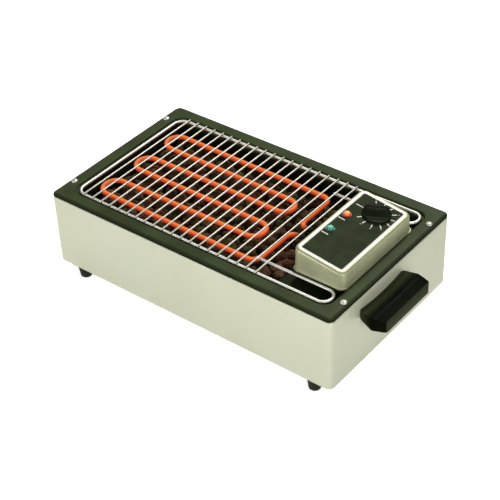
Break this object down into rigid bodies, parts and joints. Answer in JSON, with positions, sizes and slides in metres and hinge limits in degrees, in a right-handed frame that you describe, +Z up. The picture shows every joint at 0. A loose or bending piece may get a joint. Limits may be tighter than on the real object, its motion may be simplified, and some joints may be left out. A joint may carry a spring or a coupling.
{
  "type": "lava stone grill",
  "caption": "Table-top electric grill: steel casing, enamelled tank of lava stones, tubular element under a wire grid, sloping control box with a dial and pilot lamps.",
  "frame": {"origin": "on the floor under the middle of the overall box, which runs from the far end wall to the handle's outer face", "axes": "+X along the length towards the control box, -Y the front long side, +Z up"},
  "size_m": [0.5976, 0.321, 0.2034],
  "materials": {
    "steel": "thin stainless sheet with a warm tint, satin",
    "zinc": "zinc-plated steel",
    "enamel": "glossy dark olive enamel on sheet steel",
    "wire": "bright chromed wire",
    "element": "red-hot tubular heating element",
    "stone": "rough porous lava stone",
    "cover": "satin metallic paint",
    "tray": "black enamel",
    "fascia": "satin dark olive with white marks",
    "bakelite": "black moulded heat-proof plastic",
    "rubber": "matt black rubber",
    "brass": "bare brass",
    "ceramic": "matt steatite",
    "amber": "clear amber lens",
    "green": "clear green lens",
    "nylon": "natural nylon"
  },
  "bodies": {
    "casing": {"bottom_panel": "zinc", "flange_screw_front_left": "zinc", "flange_screw_front_right": "zinc", "flange_screw_rear_left": "zinc", "flange_screw_rear_right": "zinc", "foot_screw_front_left": "zinc", "foot_screw_front_right": "zinc", "foot_screw_rear_left": "zinc", "foot_screw_rear_right": "zinc", "handle": "bakelite", "handle_screw_front": "zinc", "handle_screw_rear": "zinc", "lava_stone_01": "stone", "lava_stone_02": "stone", "lava_stone_03": "stone", "lava_stone_04": "stone", "lava_stone_05": "stone", "lava_stone_06": "stone", "lava_stone_07": "stone", "lava_stone_08": "stone", "lava_stone_09": "stone", "lava_stone_bed": "stone", "lava_tank": "enamel", "outer_casing": "steel", "rubber_foot_front_left": "rubber", "rubber_foot_front_right": "rubber", "rubber_foot_rear_left": "rubber", "rubber_foot_rear_right": "rubber", "top_frame": "enamel"},
    "control_head": {"control_box_cover": "cover", "control_box_tray": "tray", "fascia_plate": "fascia", "heating_element": "element", "element_bush_front": "zinc", "element_bush_rear": "zinc", "element_terminal_front": "brass", "element_terminal_rear": "brass", "thermostat_body": "ceramic", "thermostat_nut": "zinc", "pilot_lens_amber": "amber", "pilot_lens_green": "green", "pilot_lamp_amber": "nylon", "pilot_lamp_green": "nylon", "terminal_block": "nylon", "cable_gland": "bakelite", "cover_screw_left": "zinc", "cover_screw_right": "zinc"},
    "cooking_grid": {"cooking_grid": "wire"},
    "dial": {"thermostat_knob": "bakelite", "knob_spindle": "zinc"}
  },
  "joints": [
    {"name": "head_lift_out", "type": "slide", "parent": "casing", "child": "control_head", "axis": [0, 0, 1], "range_m": [0, 0.06]},
    {"name": "grid_lift_off", "type": "slide", "parent": "control_head", "child": "cooking_grid", "axis": [0, 0, 1], "range_m": [0, 0.08]},
    {"name": "dial_turn", "type": "hinge", "parent": "control_head", "child": "dial", "pos_m": [0.18534, 0.053, 0.19291], "axis": [0.1397, 0, 0.9902], "range_deg": [-162, 146]}
  ]
}
